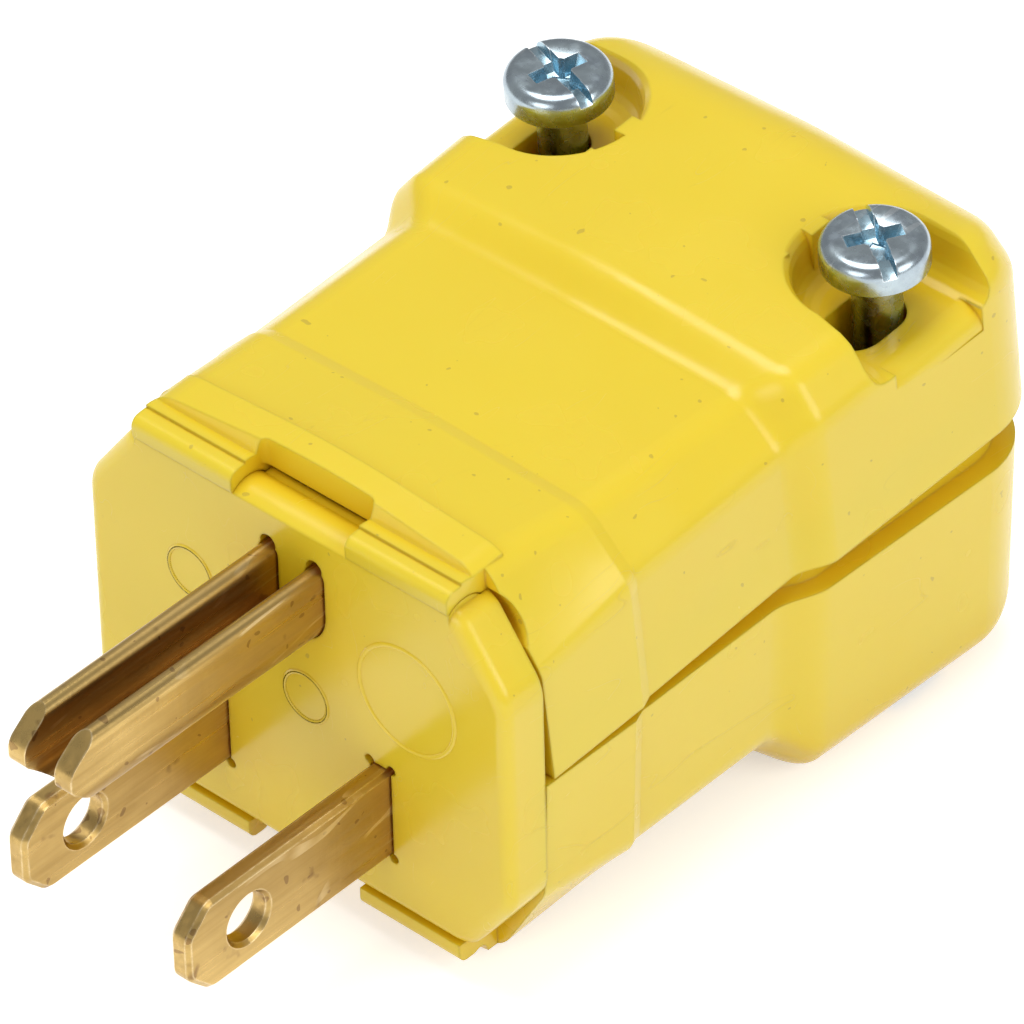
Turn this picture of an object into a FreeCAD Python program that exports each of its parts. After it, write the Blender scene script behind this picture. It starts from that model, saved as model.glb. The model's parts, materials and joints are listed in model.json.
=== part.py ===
import FreeCAD, Part
import math
import os
from FreeCAD import Vector

# Three-wire plug with a body that opens like a suitcase.
# Lengths in millimetres. X runs across the face, +Y into the body, +Z up.
# The origin is on the mating face, midway between the two flat blades.
# The upper cover is drawn shut and then swung open on its hooked front edge.

# Contacts
blade_spacing = 12.7
blade_width = 6.35
blade_thick = 1.45
blade_reach = 16.6
blade_tip_cut = 1.7
blade_coin = 0.28
blade_hole_r = 1.59
blade_hole_back = 11.7
pin_height = 11.95
pin_outer_r = 2.42
pin_wall = 1.3
pin_leg_top = 3.2
pin_reach = 20.3
pin_nose = 2.6
pin_under_nose = 3.6
slot_clear = 0.2
relief_r = 0.34

# Body outline, measured from the parting plane
parting_z = 5.2
face_half_width = 16.15
face_half_height = 12.25
face_corner_cut_x = 3.5
face_corner_cut_z = 4.8
face_corner_r = 1.6
face_side_r = 3.0
face_depth = 3.1
face_edge_r = 0.8
seam = 0.06

# Cover stations
block_rise = 1.2
draft = 0.4
band_end = 10.6
neck_start = 11.5
neck_end = 22.8
shoulder_y = 26.8
roof_neck_end = 23.8
rear_y = 46.2
rear_edge_r = 5.6
wall = 2.2

# Front lip and hook hinge
lip_side_gap = 0.6
lip_top = 1.35
lip_width = 1.25
lip_groove = 1.05
riser_foot = 2.05
riser_head = 2.85
pocket_half = 4.35
pocket_depth = 2.9
ajar_deg = 3.6
hinge_y = 1.3
hinge_drop = 1.5
bead_r = 1.9
hook_clear = 0.08
hook_thick = 1.1
hook_reach_deg = 60
hook_low_play = 0.35
neck = 1.75

# Rim between the covers
skirt = 1.0
tongue_gap = 0.32
tongue_rise = 3.0
tongue_front = 1.6
rebate_clear = 0.3

# Closing screws
screw_inset = 4.05
screw_y = 36.3
screw_r = 1.5
screw_length = 19.05
screw_head_r = 3.25
screw_head_height = 2.15
screw_slot_w = 1.05
screw_recess_depth = 1.3
well_depth = 3.65
well_r = 4.7
well_roll_r = 1.6
well_spread = 2.0
well_floor_thick = 2.5
hole_r = 1.9
hole_slot = 1.8
hole_shift = 1.25
boss_r = 3.9
boss_end = 4.45
screw_out = 3.6
retainer_r = 2.5
retainer_thick = 0.8
retainer_slack = 0.35
retainer_clear = 0.4
retainer_sink = 0.65
running = 0.05

# Nuts in the lower cover
nut_flats = 6.35
nut_height = 2.8
nut_engage = 1.8
nut_bore_r = 1.56
bore_r = 2.3
bore_slot = 1.5

# Cord entry
cord_hole_r = 7.2
cord_flare = 1.1
cord_grip_r = 5.2
rib_thick = 1.6
rib_pitch = 3.6
rib_first = 29.6
rib_count = 4
rib_half = 7.6

# Contact carrier
carrier_inset = 3.55
carrier_back = 18.4
base_corner = 2.4
tower_half = 4.3
fin = 0.9
plate_thick = 1.3
terminal_y = 13.0
terminal_half = 3.6
terminal_front = 8.6
clamp_thick = 1.4
clamp_half = 3.3
terminal_screw_r = 1.6
terminal_head_r = 3.1
terminal_head_height = 1.9
terminal_screw_length = 6.6
retainer_plate_thick = 1.4

blade_x = blade_spacing / 2
face_corner_side = face_half_height - face_corner_cut_z
face_corner_top = face_half_width - face_corner_cut_x
lip_half = face_corner_top - lip_side_gap
carrier_half = face_half_width - carrier_inset
screw_x = face_half_width - screw_inset
well_floor = face_half_height + block_rise - well_depth
hinge_z = parting_z + face_half_height - hinge_drop
tab_half = pocket_half - 0.15
inner_skirt = skirt + tongue_gap
cavity_back = rear_y - wall
plate_z = blade_width / 2
past_roof = face_half_height + 6.0
pin_plate_z = pin_height - pin_outer_r


def corner_arc(before, corner, after, radius):
    """Tangent points and mid point of the arc that rounds one corner."""
    back = Vector(*before).sub(Vector(*corner))
    ahead = Vector(*after).sub(Vector(*corner))
    back.normalize()
    ahead.normalize()
    half = back.getAngle(ahead) / 2
    run = radius / math.tan(half)
    centre_dir = back.add(ahead)
    centre_dir.normalize()
    apex = Vector(*corner)
    centre = apex + centre_dir * (radius / math.sin(half))
    start = apex + back * run
    end = apex + ahead * run
    middle = centre - centre_dir * radius
    return start, middle, end


def rounded_wire(points, radii):
    """Closed wire through 3-D points, each corner rounded by its radius."""
    arcs = []
    count = len(points)
    for i, radius in enumerate(radii):
        corner = points[i]
        if radius:
            arcs.append(corner_arc(points[i - 1], corner, points[(i + 1) % count], radius))
        else:
            arcs.append((Vector(*corner), None, Vector(*corner)))
    edges = []
    for i, (start, middle, end) in enumerate(arcs):
        if middle:
            edges.append(Part.Arc(start, middle, end).toShape())
        following = arcs[(i + 1) % count][0]
        edges.append(Part.LineSegment(end, following).toShape())
    return Part.Wire(edges)


def station(y, flare, side_drop, corner_in, corner_rise, crown):
    """One cross-section of a cover as (y, corner list), set against the face's outline."""
    half_width = face_half_width + flare
    side_top = face_half_height - side_drop
    corner_x = face_half_width - corner_in
    corner_z = face_half_height + corner_rise
    corners = [(-half_width, 0), (-half_width + draft, side_top), (-corner_x, corner_z)]
    corners += [(0, corner_z + crown), (corner_x, corner_z)]
    corners += [(half_width - draft, side_top), (half_width, 0)]
    return y, corners


front_y = face_depth + seam
upper_sections = [
    station(front_y, 0.1, 4.55, 4.05, 1.75, 0.9),
    station(band_end, 0.15, 3.25, 3.85, 0.6, 0.4),
    station(neck_start, -0.2, 3.25, 3.9, 0.25, 0.4),
    station(roof_neck_end, -0.35, 3.15, 3.8, -0.4, 0.25),
    station(shoulder_y, 0.75, 2.05, 1.75, block_rise - 0.55, 0.65),
    station(rear_y, 1.1, 1.25, 1.35, block_rise - 0.45, 0.5),
]
lower_sections = [
    station(front_y, 0.1, 3.9, 3.8, 2.15, 0.7),
    station(band_end, 0.15, 2.65, 3.4, 1.0, 0.4),
    station(neck_start, -0.2, 2.6, 3.4, 0.75, 0.4),
    station(neck_end, -0.35, 2.3, 3.2, 0.1, 0.2),
    station(shoulder_y, 0.75, -0.2, 0.95, 2.3, 0.2),
    station(rear_y, 1.15, -0.65, 0.9, 2.65, 0.2),
]
side_radius = 2.2
top_radius = 2.4
crown_radius = 60.0


def shrink(corners, inset):
    """Corner list moved inward by inset, all but the parting line."""
    count = len(corners)
    lines = []
    for i in range(count - 1):
        ax, az = corners[i]
        bx, bz = corners[i + 1]
        length = math.hypot(bx - ax, bz - az)
        nx = (bz - az) / length
        nz = -(bx - ax) / length
        lines.append((nx, nz, nx * ax + nz * az + inset))
    moved = [(lines[0][2] / lines[0][0], 0)]
    for (nx, nz, c), (mx, mz, d) in zip(lines, lines[1:]):
        det = nx * mz - nz * mx
        moved.append(((c * mz - nz * d) / det, (nx * d - c * mx) / det))
    moved.append((lines[-1][2] / lines[-1][0], 0))
    return moved


def section_wire(y, corners, inset=0.0, drop=0.0, tuck=0.0):
    """Rounded wire of a cross-section, inset inward, then drawn in by tuck at the rear."""
    moved = shrink(corners, inset) if inset else corners
    across = 1 - tuck / moved[-1][0]
    up = 1 - tuck / moved[3][1]
    points = [(x * across, y, z * up) for x, z in moved]
    first, last = points[0], points[-1]
    points[0] = (first[0], y, -drop)
    points[-1] = (last[0], y, -drop)
    side = max(side_radius - inset, 0.4) * up
    top = max(top_radius - inset, 0.4) * up
    return rounded_wire(points, [0, side, top, crown_radius * up, top, side, 0])


def between(low, high, share):
    """Cross-section part way between two others."""
    y = low[0] + (high[0] - low[0]) * share
    return y, [(a + (c - a) * share, b + (d - b) * share) for (a, b), (c, d) in zip(low[1], high[1])]


def eased(low, high, share):
    """Cross-section at an even step in Y, its shape eased in and out."""
    y = low[0] + (high[0] - low[0]) * share
    soft = (1 - math.cos(math.pi * share)) / 2
    return y, between(low, high, soft)[1]


def loft(sections, inset=0.0, drop=0.0, ruled=False):
    wires = [section_wire(y, corners, inset, drop) for y, corners in sections]
    return Part.makeLoft(wires, True, ruled)


def half_body(sections, inset, start_y, end_y, end_radius):
    """Solid half of the body, run on past the parting plane, or its cavity with an inset."""
    drop = 1.0
    front, band, waist, foot, shoulder, rear = sections
    front = (start_y, front[1])
    spans = [loft([front, band], inset, drop, True)]
    spans.append(loft([band, waist], inset, drop, True))
    spans.append(loft([waist, foot], inset, drop, True))
    steps = 6
    ramp = [eased(foot, shoulder, i / steps) for i in range(steps + 1)]
    spans.append(loft(ramp, inset, drop))
    bend = end_y - end_radius
    share = (bend - shoulder_y) / (rear_y - shoulder_y)
    block_end = between(shoulder, rear, share)
    spans.append(loft([shoulder, block_end], inset, drop, True))
    round_steps = 6
    wires = []
    for i in range(round_steps + 1):
        angle = math.pi / 2 * i / round_steps
        y = bend + end_radius * math.sin(angle)
        tuck = end_radius * (1 - math.cos(angle)) * 0.985
        wires.append(section_wire(y, block_end[1], inset, drop, tuck))
    spans.append(Part.makeLoft(wires, True, False))
    body = spans[0]
    for span in spans[1:]:
        body = body.fuse(span)
    return body.removeSplitter()


def cylinder(radius, height, base, axis=Vector(0, 0, 1)):
    return Part.makeCylinder(radius, height, base, axis)


def box(low, high):
    size = [h - l for l, h in zip(low, high)]
    return Part.makeBox(*size, Vector(*low))


def prism(points, radii, depth):
    """Solid from a rounded outline swept along a vector."""
    return Part.Face(rounded_wire(points, radii)).extrude(Vector(*depth))


def stadium(x, y, radius, travel, low, high):
    """Upright solid with round ends, its straight part running along Y."""
    front = cylinder(radius, high - low, Vector(x, y - travel / 2, low))
    back = cylinder(radius, high - low, Vector(x, y + travel / 2, low))
    middle = box((x - radius, y - travel / 2, low), (x + radius, y + travel / 2, high))
    return front.fuse(back).fuse(middle).removeSplitter()


def face_corners():
    """Outline corners of the front face about the parting line."""
    top = [(-face_half_width, face_corner_side), (-face_corner_top, face_half_height)]
    top += [(face_corner_top, face_half_height), (face_half_width, face_corner_side)]
    return top + [(x, -z) for x, z in reversed(top)]


def face_wire(y, inset):
    corners = face_corners()
    scale_x = (face_half_width - inset) / face_half_width
    scale_z = (face_half_height - inset) / face_half_height
    points = [(x * scale_x, y, parting_z + z * scale_z) for x, z in corners]
    corner = face_corner_r - inset / 2
    side = face_side_r - inset
    return rounded_wire(points, [side, corner, corner, side, side, corner, corner, side])


def lip(front_corners):
    """Rolled front lip of a cover with its groove, up to the cover's roof."""
    rise = front_corners[3][1]
    base = face_half_height + seam
    points = [(0, 0, base), (0, 0, base + lip_top), (0, lip_width, base + lip_top)]
    points += [(0, riser_foot, base + lip_groove), (0, riser_head, rise + 0.15)]
    points += [(0, face_depth + 1.6, rise), (0, face_depth + 1.6, base)]
    bar = prism(points, [0, 0.65, 0.5, 0.55, 0.7, 0, 0], (2 * lip_half, 0, 0))
    bar.translate(Vector(-lip_half, 0, 0))
    outline = section_wire(-0.5, front_corners, 0.0, 0.0)
    envelope = Part.Face(outline).extrude(Vector(0, face_depth + 4, 0))
    return bar.common(envelope)


def hinge_rod(radius, half_length):
    """Cylinder about the hinge line, measured from the parting plane."""
    start = Vector(-half_length, hinge_y, hinge_z - parting_z)
    return cylinder(radius, 2 * half_length, start, Vector(1, 0, 0))


def hook():
    """Curl under the lip that grips the bead on the face piece."""
    reach = hook_thick + hook_clear + bead_r
    axis_z = hinge_z - parting_z
    low = math.radians(hook_reach_deg)
    far = 2 * reach
    fan = [(-lip_half, hinge_y, axis_z), (-lip_half, hinge_y + far * math.cos(low), axis_z - far * math.sin(low))]
    fan += [(-lip_half, hinge_y + far, axis_z + far), (-lip_half, hinge_y, axis_z + far)]
    sector = prism(fan, [0, 0, 0, 0], (2 * lip_half, 0, 0))
    curl = hinge_rod(reach, lip_half).common(sector)
    middle = box((-pocket_half, -20, 0), (pocket_half, 20, axis_z + bead_r))
    return curl.cut(middle)


def pocket():
    """Room over the face piece's tab, cut through the lip."""
    low = hinge_z - parting_z - bead_r - hook_thick - 0.5
    points = [(-pocket_half, -1, low), (pocket_half, -1, low)]
    points += [(pocket_half, pocket_depth, low), (-pocket_half, pocket_depth, low)]
    return prism(points, [0, 0, 0.5, 0.5], (0, 0, 16 - low))


def shell(sections, hooked):
    """One cover half without its own fittings, above the parting plane."""
    outside = half_body(sections, 0.0, front_y, rear_y, rear_edge_r)
    outside = outside.cut(box((-30, -5, -5), (30, rear_y + 5, 0)))
    inside = half_body(sections, wall, face_depth - 1, cavity_back, rear_edge_r - wall)
    hollow = outside.cut(inside)
    cover = hollow.fuse(lip(sections[0][1]))
    if hooked:
        cover = cover.fuse(hook())
        cover = cover.cut(hinge_rod(bead_r + hook_clear, lip_half + seam))
        swept = hinge_rod(hypot_block() + hook_clear, face_half_width)
        beside = hinge_rod(3 * bead_r, lip_half).cut(hinge_rod(4 * bead_r, pocket_half))
        cover = cover.cut(swept.cut(beside))
    return cover.cut(pocket()).removeSplitter(), outside


def hypot_block():
    """Distance from the hinge line to the rear top edge of the face corners."""
    return math.hypot(face_depth - hinge_y, hinge_drop)


def plan(inset, start_y):
    """Plan outline of the body at the parting plane, moved inward by inset."""
    front, band, waist, foot, shoulder, rear = upper_sections
    places = [front, band, waist, foot] + [eased(foot, shoulder, i / 3) for i in (1, 2, 3)] + [rear]
    right = [(corners[-1][0] - inset, y, 0) for y, corners in places]
    right[0] = (right[0][0], start_y, 0)
    right[-1] = (right[-1][0], rear_y - inset, 0)
    points = right + [(-x, y, 0) for x, y, z in reversed(right)]
    corner = max(rear_edge_r - inset, 0.5)
    radii = [0] * len(points)
    radii[len(right) - 1] = corner
    radii[len(right)] = corner
    return Part.Face(rounded_wire(points, radii))


def rim_ring(outer, inner, height, start_y):
    ring = plan(outer, start_y).extrude(Vector(0, 0, height))
    return ring.cut(plan(inner, start_y - 1).extrude(Vector(0, 0, height)))


def cord_ribs():
    """Half-round gripping ribs across the cord channel."""
    ribs = None
    for i in range(rib_count):
        y = rib_first + i * rib_pitch
        rib = box((-rib_half, y - rib_thick / 2, 0), (rib_half, y + rib_thick / 2, past_roof))
        ribs = rib if ribs is None else ribs.fuse(rib)
    channel = cylinder(cord_grip_r, 30, Vector(0, 20, 0), Vector(0, 1, 0))
    return ribs.cut(channel)


def cord_opening():
    """Round entry through the rear wall, flared like a funnel."""
    mouth = cord_hole_r + cord_flare
    profile = [(0, rear_y - 4.9), (cord_hole_r, rear_y - 4.9), (cord_hole_r, rear_y - 1.3)]
    profile += [(mouth, rear_y - 1.3 + cord_flare), (mouth, rear_y + 2), (0, rear_y + 2)]
    corners = [Vector(0, y, -r) for r, y in profile]
    face = Part.Face(Part.makePolygon(corners + corners[:1]))
    return face.revolve(Vector(0, 0, 0), Vector(0, 1, 0), 360)


def both_sides(make):
    """The same feature on the left and the right."""
    return make(-1).fuse(make(1))


def well_wire(side, level, radius):
    """Outline of a screw recess at one level, round inside and wider at the outer side."""
    x = screw_x * side
    out = x + side * 9.0
    front = Vector(x, screw_y - radius, level)
    back = Vector(x, screw_y + radius, level)
    front_out = Vector(out, screw_y - radius - well_spread, level)
    back_out = Vector(out, screw_y + radius, level)
    arc = Part.Arc(back, Vector(x - side * radius, screw_y, level), front).toShape()
    edges = [Part.LineSegment(front, front_out).toShape(), Part.LineSegment(front_out, back_out).toShape()]
    edges += [Part.LineSegment(back_out, back).toShape(), arc]
    return Part.Wire(edges)


def well(side):
    """Recess for a screw head with soft floor and rim, open to the outer side."""
    profile = [(0.0, -1.35), (0.12, -0.82), (0.42, -0.4), (0.85, -0.12), (1.35, 0.0)]
    rim = [(-1.1, 0.1), (-0.62, 0.26), (-0.28, 0.55), (-0.05, 0.95), (0.1, 1.45), (2.0, 3.2)]
    profile += [(well_depth + level, grow) for level, grow in rim]
    wires = [well_wire(side, well_floor + level, well_r + grow) for level, grow in profile]
    return Part.makeLoft(wires, True, True)


def well_roll(side):
    """Quarter round that eases the recess floor over into the side wall."""
    r = well_roll_r
    edge = face_half_width + 0.6
    low = well_floor - r
    reach = well_r - 1.0
    block = box((edge - r, screw_y - reach, low), (edge + 3, screw_y + reach, well_floor + 0.05))
    bar = cylinder(r, 2 * well_r + 2, Vector(edge - r, screw_y - well_r - 1, low), Vector(0, 1, 0))
    roll = block.cut(bar)
    return roll if side > 0 else roll.mirror(Vector(0, 0, 0), Vector(1, 0, 0))


def well_tub(side):
    """Material that carries the floor and walls of a screw recess."""
    x = screw_x * side
    low = well_floor - well_floor_thick
    tub = cylinder(well_r + 1.9, 9, Vector(x, screw_y, low))
    reach = box((x, screw_y - well_r - 1.9, low), (x + 8, screw_y + well_r + 1.9, low + 9))
    if side < 0:
        reach.translate(Vector(-8, 0, 0))
    boss = cylinder(boss_r, low - boss_end + 1, Vector(x, screw_y, boss_end))
    return tub.fuse(reach).fuse(boss)


def swing(shape, degrees):
    """Turn a shape about the cover's hooked front edge."""
    turned = shape.copy()
    turned.rotate(Vector(0, hinge_y, hinge_z), Vector(1, 0, 0), degrees)
    return turned


def upper_cover():
    """Upper half: roof, lip, two screw recesses and the cord jaw."""
    cover, outside = shell(upper_sections, True)
    tubs = both_sides(well_tub).common(outside)
    cover = cover.fuse(tubs)
    for side in (-1, 1):
        cover = cover.cut(well(side)).cut(well_roll(side))
    hole_y = screw_y - hole_shift
    holes = both_sides(lambda s: stadium(screw_x * s, hole_y, hole_r, hole_slot, 0, past_roof))
    cover = cover.cut(holes)
    jaw = cord_ribs().common(outside).cut(holes)
    cover = cover.fuse(jaw)
    rebate = rim_ring(skirt, wall + 0.6, tongue_rise + rebate_clear, face_depth - 1)
    keep = box((-rib_half, rib_first - 2, 0), (rib_half, cavity_back, past_roof))
    cover = cover.cut(rebate.cut(keep))
    cover = cover.cut(cord_opening())
    cover.translate(Vector(0, 0, parting_z))
    return swing(cover.removeSplitter(), ajar_deg)


def nut_boss(side):
    return cylinder(boss_r + 0.8, past_roof, Vector(screw_x * side, screw_y, 0))


def hexagon(flats, height, x, y, z):
    corner = flats / math.sqrt(3)
    points = []
    for i in range(6):
        angle = math.radians(60 * i + 30)
        points.append((x + corner * math.cos(angle), y + corner * math.sin(angle), z))
    return prism(points, [0] * 6, (0, 0, height))


def nut_top():
    """Height of the nuts' upper faces above the parting plane, negative below it."""
    return well_floor - screw_length + nut_engage


def retainer_space(side, low, high):
    """Room for a screw's retaining washer, which comes down with the screw."""
    return cylinder(retainer_r + retainer_clear, high - low, Vector(screw_x * side, screw_y, low))


def lower_cover():
    """Lower half: tray, tongue, nut bosses and the other cord jaw."""
    cover, outside = shell(lower_sections, False)
    cover = cover.fuse(both_sides(nut_boss).common(outside))
    cover = cover.fuse(cord_ribs().common(outside))
    depth = -nut_top()
    bores = both_sides(lambda s: stadium(screw_x * s, screw_y, bore_r, bore_slot, -1, depth + 0.5))
    pockets = both_sides(lambda s: hexagon(nut_flats, 20, screw_x * s, screw_y, depth))
    cover = cover.cut(bores).cut(pockets).cut(cord_opening())
    cover.rotate(Vector(0, 0, 0), Vector(0, 1, 0), 180)
    tongue = rim_ring(inner_skirt, wall, tongue_rise, face_depth + tongue_front)
    root = rim_ring(inner_skirt, wall + 0.4, 1.0, face_depth + tongue_front)
    root.translate(Vector(0, 0, -1.0))
    tongue = tongue.fuse(root)
    cover = cover.fuse(tongue.cut(cord_opening()))
    cover = cover.cut(both_sides(lambda s: retainer_space(s, -retainer_sink, 2 * tongue_rise)))
    cover.translate(Vector(0, 0, parting_z))
    return cover.removeSplitter()


def blade_slot(side):
    """Opening for a flat blade with small reliefs at its corners."""
    x = blade_x * side
    half_x = blade_thick / 2 + slot_clear / 2
    half_z = blade_width / 2 + slot_clear / 2
    slot = box((x - half_x, -1, -half_z), (x + half_x, carrier_back + 1, half_z))
    for dx in (-half_x, half_x):
        for dz in (-half_z, half_z):
            slot = slot.fuse(cylinder(relief_r, face_depth, Vector(x + dx, -1, dz), Vector(0, 1, 0)))
    return slot


def channel_section(y, grow):
    """U-shaped section of the ground pin at depth y, fattened by grow."""
    outer = pin_outer_r + grow
    inner = pin_outer_r - pin_wall - grow
    top = pin_height + pin_leg_top + grow
    low = Vector(0, y, pin_height)
    tip = (outer - inner) / 2
    a = Vector(-outer, y, top - tip)
    b = Vector(-outer + tip, y, top)
    c = Vector(-inner, y, top - tip)
    d = Vector(inner, y, top - tip)
    e = Vector(outer - tip, y, top)
    f = Vector(outer, y, top - tip)
    edges = [Part.Arc(a, b, c).toShape()]
    edges.append(Part.LineSegment(c, Vector(-inner, y, low.z)).toShape())
    floor = Vector(0, y, low.z - inner)
    edges.append(Part.Arc(Vector(-inner, y, low.z), floor, Vector(inner, y, low.z)).toShape())
    edges.append(Part.LineSegment(Vector(inner, y, low.z), d).toShape())
    edges.append(Part.Arc(d, e, f).toShape())
    edges.append(Part.LineSegment(f, Vector(outer, y, low.z)).toShape())
    belly = Vector(0, y, low.z - outer)
    edges.append(Part.Arc(Vector(outer, y, low.z), belly, Vector(-outer, y, low.z)).toShape())
    edges.append(Part.LineSegment(Vector(-outer, y, low.z), a).toShape())
    return Part.Face(Part.Wire(edges))


def contact_carrier():
    """Front face and the block behind it that carries the contacts."""
    wires = []
    steps = 3
    for i in range(steps + 1):
        angle = math.pi / 2 * i / steps
        y = face_edge_r * (1 - math.sin(angle))
        wires.append(face_wire(y, face_edge_r * (1 - math.cos(angle))))
    wires.reverse()
    rim = Part.makeLoft(wires, True, False)
    plate = Part.Face(face_wire(face_edge_r, 0)).extrude(Vector(0, face_depth - face_edge_r, 0))
    body = rim.fuse(plate)
    floor_z = inner_floor()
    base = prism(base_outline(face_depth, floor_z, plate_z - plate_thick), [0] * 6, (0, carrier_back - face_depth, 0))
    tower = box((-tower_half, face_depth, floor_z), (tower_half, carrier_back, pin_plate_z))
    body = body.fuse(base).fuse(tower)
    for side in (-1, 1):
        x = side * (tower_half + fin / 2)
        guard = box((x - fin / 2, face_depth, 0), (x + fin / 2, carrier_back, pin_plate_z + 3.0))
        body = body.fuse(guard)
    body = body.cut(hook_room())
    bead = cylinder(bead_r, 2 * lip_half, Vector(-lip_half, hinge_y, hinge_z), Vector(1, 0, 0))
    body = body.fuse(bead.common(box((-20, 0, hinge_z - bead_r), (20, 9, hinge_z + bead_r))))
    body = body.cut(both_sides(blade_slot))
    pin_hole = channel_section(-1, slot_clear / 2).extrude(Vector(0, terminal_front + 1, 0))
    for side in (-1, 1):
        x = side * (pin_outer_r - pin_wall / 2)
        relief = cylinder(relief_r + 0.25, face_depth, Vector(x, -1, pin_height + pin_leg_top), Vector(0, 1, 0))
        pin_hole = pin_hole.fuse(relief)
    body = body.cut(pin_hole)
    for side in (-1, 0, 1):
        x = side * terminal_x()
        top = pin_plate_z if side == 0 else plate_z
        body = body.cut(cylinder(terminal_screw_r + 0.3, 8, Vector(x, terminal_y, top - 8)))
    return body.removeSplitter()


def inner_floor():
    """Height of the lower cover's floor under the contacts, with the seam's gap."""
    return parting_z - lower_sections[3][1][3][1] + wall + seam


def base_outline(y, low, top):
    """Section of the carrier's base with its lower corners cut off."""
    cut = base_corner
    points = [(-carrier_half, y, low + cut), (-carrier_half + cut, y, low), (carrier_half - cut, y, low)]
    return points + [(carrier_half, y, low + cut), (carrier_half, y, top), (-carrier_half, y, top)]


def hook_room():
    """Undercut behind the top edge of the face, on both sides of its middle tab."""
    low = hinge_z - bead_r - hook_clear - hook_thick - hook_low_play
    top = hinge_z + bead_r + 1
    room = box((-lip_half - seam, neck, low), (lip_half + seam, face_depth + 1, top))
    room = room.fuse(box((-lip_half - seam, -1, hinge_z), (lip_half + seam, face_depth + 1, top)))
    room = room.cut(cylinder(bead_r, 30, Vector(-15, hinge_y, hinge_z), Vector(1, 0, 0)))
    return room.cut(box((-tab_half, -2, low - 1), (tab_half, 9, top + 1)))


def terminal_x():
    """Distance of the power terminals' screws from the middle."""
    return blade_x + terminal_half - 0.4


def flat_blade(side):
    """Brass blade, folded inside the body into a flat terminal."""
    back = terminal_y + terminal_half
    half = blade_width / 2
    tip = -blade_reach
    points = [(0, back, -half), (0, tip, -half), (0, tip, half), (0, back, half)]
    radii = [0.3, 0, 0, 0.3]
    strip = prism(points, radii, (blade_thick, 0, 0))
    strip.translate(Vector(-blade_thick / 2, 0, 0))
    nose = [e for e in strip.Edges if e.BoundBox.YMax < tip + 0.01 and e.Length < blade_thick + 0.01]
    strip = strip.makeChamfer(blade_tip_cut, nose)
    nose = [e for e in strip.Edges if e.BoundBox.YMax < -1 and e.Length < blade_thick + 0.01]
    strip = strip.makeFillet(1.1, nose)
    outline = [e for e in strip.Edges if e.BoundBox.XLength < 0.01]
    strip = strip.makeChamfer(blade_coin, outline)
    hole_y = -blade_hole_back
    hole = cylinder(blade_hole_r, 4, Vector(-2, hole_y, 0), Vector(1, 0, 0))
    flare = 0.25
    for x, direction in ((-blade_thick / 2, 1), (blade_thick / 2, -1)):
        cone = Part.makeCone(blade_hole_r + flare, blade_hole_r, flare, Vector(x, hole_y, 0), Vector(direction, 0, 0))
        hole = hole.fuse(cone)
    strip = strip.cut(hole)
    fold_out = terminal_x() - blade_x + terminal_half
    plate = box((-blade_thick / 2, terminal_front, half - plate_thick), (fold_out, back, half))
    plate = plate.cut(cylinder(terminal_screw_r, 6, Vector(terminal_x() - blade_x, terminal_y, 0)))
    outer = [e for e in plate.Edges if e.BoundBox.XMin > fold_out - 0.01 and e.BoundBox.ZLength > 1]
    plate = plate.makeFillet(1.0, outer)
    blade = strip.fuse(plate).removeSplitter()
    if side < 0:
        blade = blade.mirror(Vector(0, 0, 0), Vector(1, 0, 0))
    blade.translate(Vector(blade_x * side, 0, 0))
    return blade


def ground_pin():
    """Channel-shaped brass pin, its floor carried on as a flat terminal."""
    pin = channel_section(-pin_reach, 0).extrude(Vector(0, pin_reach + terminal_front, 0))
    top = pin_height + pin_leg_top + 0.3
    low = pin_height - pin_outer_r
    nose = [(-5, -pin_reach, low + 2.6), (-5, -pin_reach, top - 2.0), (-5, -pin_reach + pin_nose, top)]
    nose += [(-5, 30, top), (-5, 30, low - 1), (-5, -pin_reach + pin_under_nose, low - 0.4)]
    pin = pin.common(prism(nose, [0.7, 1.2, 0, 0, 0, 0], (10, 0, 0)))
    back = terminal_y + terminal_half
    plate = box((-terminal_half, terminal_front, low), (terminal_half, back, low + plate_thick))
    plate = plate.cut(cylinder(terminal_screw_r, 6, Vector(0, terminal_y, low - 2)))
    rear = [e for e in plate.Edges if e.BoundBox.YMin > back - 0.01 and e.BoundBox.ZLength > 1]
    plate = plate.makeFillet(1.0, rear)
    return pin.fuse(plate).removeSplitter()


def clamp_plate(x, z):
    """Square pressure plate with a groove for the wire on each side."""
    plate = box((x - clamp_half, terminal_y - clamp_half, z), (x + clamp_half, terminal_y + clamp_half, z + clamp_thick))
    upright = [e for e in plate.Edges if e.BoundBox.ZLength > 1]
    plate = plate.makeFillet(0.7, upright)
    plate = plate.cut(cylinder(terminal_screw_r, 4, Vector(x, terminal_y, z - 1)))
    for side in (-1, 1):
        start = Vector(x + side * (terminal_screw_r + 0.95), terminal_y - 5, z - 0.25)
        plate = plate.cut(cylinder(0.75, 10, start, Vector(0, 1, 0)))
    return plate


def terminal_screw(x, z):
    """Binding screw with a low round head and a driving slot."""
    head = cylinder(terminal_head_r, terminal_head_height, Vector(x, terminal_y, z))
    rim = [e for e in head.Edges if e.BoundBox.ZMin > z + 0.1 and e.Length > 5]
    head = head.makeFillet(0.7, rim)
    shank = cylinder(terminal_screw_r, terminal_screw_length, Vector(x, terminal_y, z - terminal_screw_length))
    slot = box((x - 5, terminal_y - 0.5, z + terminal_head_height - 0.9), (x + 5, terminal_y + 0.5, z + 5))
    return head.fuse(shank).cut(slot)


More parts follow.
